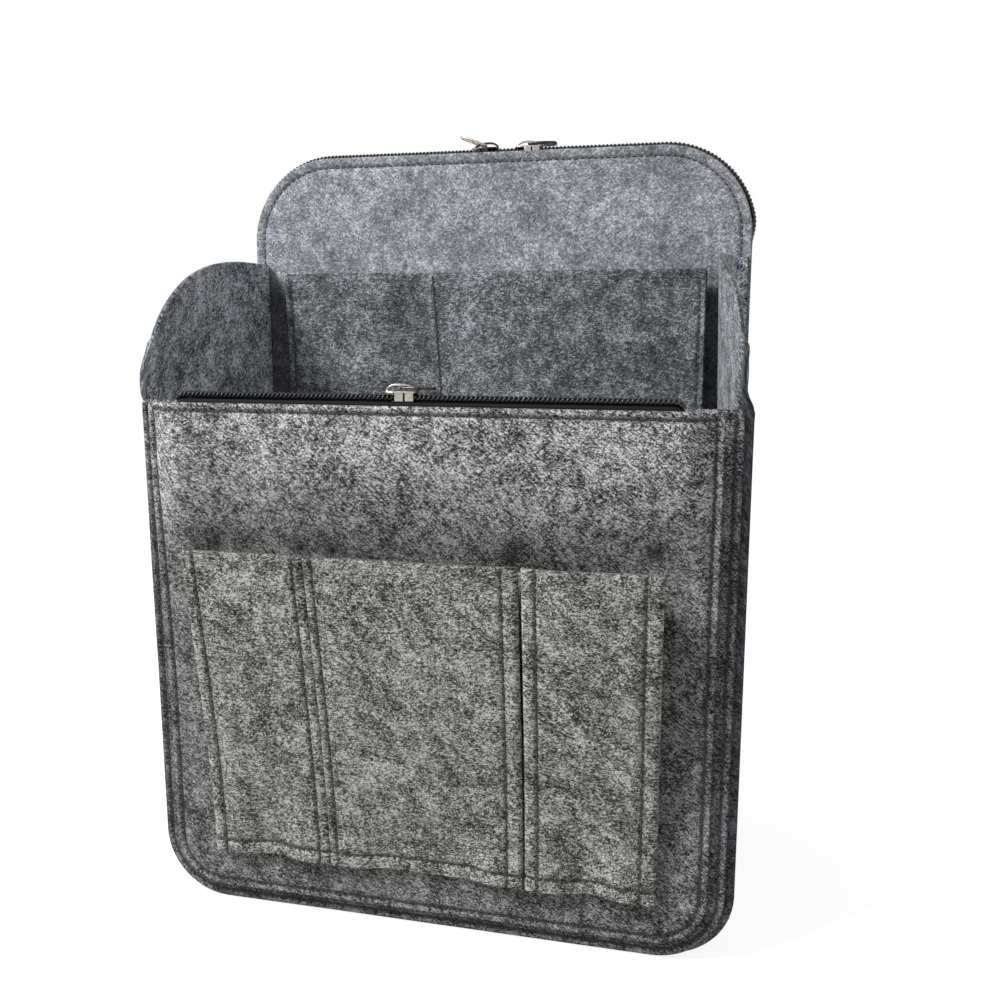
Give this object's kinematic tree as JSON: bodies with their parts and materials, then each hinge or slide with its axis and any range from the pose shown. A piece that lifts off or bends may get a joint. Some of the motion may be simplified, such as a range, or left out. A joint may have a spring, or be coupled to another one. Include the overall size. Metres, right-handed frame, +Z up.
{
  "type": "backpack organizer insert",
  "caption": "Upright felt organizer insert with an open main compartment, pleated front pockets, a zip pocket in front and a zipped compartment behind a tall back wall.",
  "frame": {"origin": "middle of the bounding box on the surface that the insert stands on", "axes": "+Z up, front pockets face -Y, back cover faces +Y, +X to the right seen from the front"},
  "size_m": [0.245, 0.144, 0.3357],
  "materials": {
    "front_felt": "heather grey needle-punched polyester felt, raised fibre surface",
    "wall_felt": "heather grey needle-punched polyester felt, slightly bluish",
    "inner_felt": "heather grey needle-punched polyester felt, darker shade",
    "zip_tape": "black woven polyester zip tape",
    "zip_coil": "black nylon coil, semi-gloss",
    "nickel": "nickel-plated zinc casting"
  },
  "bodies": {
    "insert": {"bellows_pocket_strip": "front_felt", "front_pocket_panel": "front_felt", "front_wall_panel": "wall_felt", "gusset_band": "inner_felt", "inner_pocket_panel": "inner_felt", "back_wall_panel": "wall_felt", "rear_gusset_band": "inner_felt", "back_cover_panel": "wall_felt", "front_zip_tape_near": "zip_tape", "front_zip_tape_far": "zip_tape", "front_zip_coil_near": "zip_coil", "front_zip_coil_far": "zip_coil", "rear_zip_tape_near": "zip_tape", "rear_zip_tape_far": "zip_tape", "rear_zip_coil_near": "zip_coil", "rear_zip_coil_far": "zip_coil"},
    "front_slider": {"front_zip_slider": "nickel"},
    "front_pull": {"front_zip_pull": "nickel"},
    "rear_left_slider": {"rear_zip_slider_left": "nickel"},
    "rear_left_pull": {"rear_zip_pull_left": "nickel"},
    "rear_right_slider": {"rear_zip_slider_right": "nickel"},
    "rear_right_pull": {"rear_zip_pull_right": "nickel"}
  },
  "joints": [
    {"name": "front_zip_slide", "type": "slide", "parent": "insert", "child": "front_slider", "axis": [1, 0, 0], "range_m": [-0.0868, 0.0983]},
    {"name": "front_pull_hinge", "type": "hinge", "parent": "front_slider", "child": "front_pull", "pos_m": [-0.00575, -0.0567, 0.22327], "axis": [0, -1, 0], "range_deg": [0, 180]},
    {"name": "rear_left_zip_slide", "type": "slide", "parent": "insert", "child": "rear_left_slider", "axis": [1, 0, 0], "range_m": [-0.0703, 0.003]},
    {"name": "rear_left_pull_hinge", "type": "hinge", "parent": "rear_left_slider", "child": "rear_left_pull", "pos_m": [-0.0035, 0.0648, 0.33067], "axis": [0, -1, 0], "range_deg": [-160, 20]},
    {"name": "rear_right_zip_slide", "type": "slide", "parent": "insert", "child": "rear_right_slider", "axis": [1, 0, 0], "range_m": [-0.003, 0.0563]},
    {"name": "rear_right_pull_hinge", "type": "hinge", "parent": "rear_right_slider", "child": "rear_right_pull", "pos_m": [0.0175, 0.0648, 0.33067], "axis": [0, -1, 0], "range_deg": [0, 180]}
  ]
}
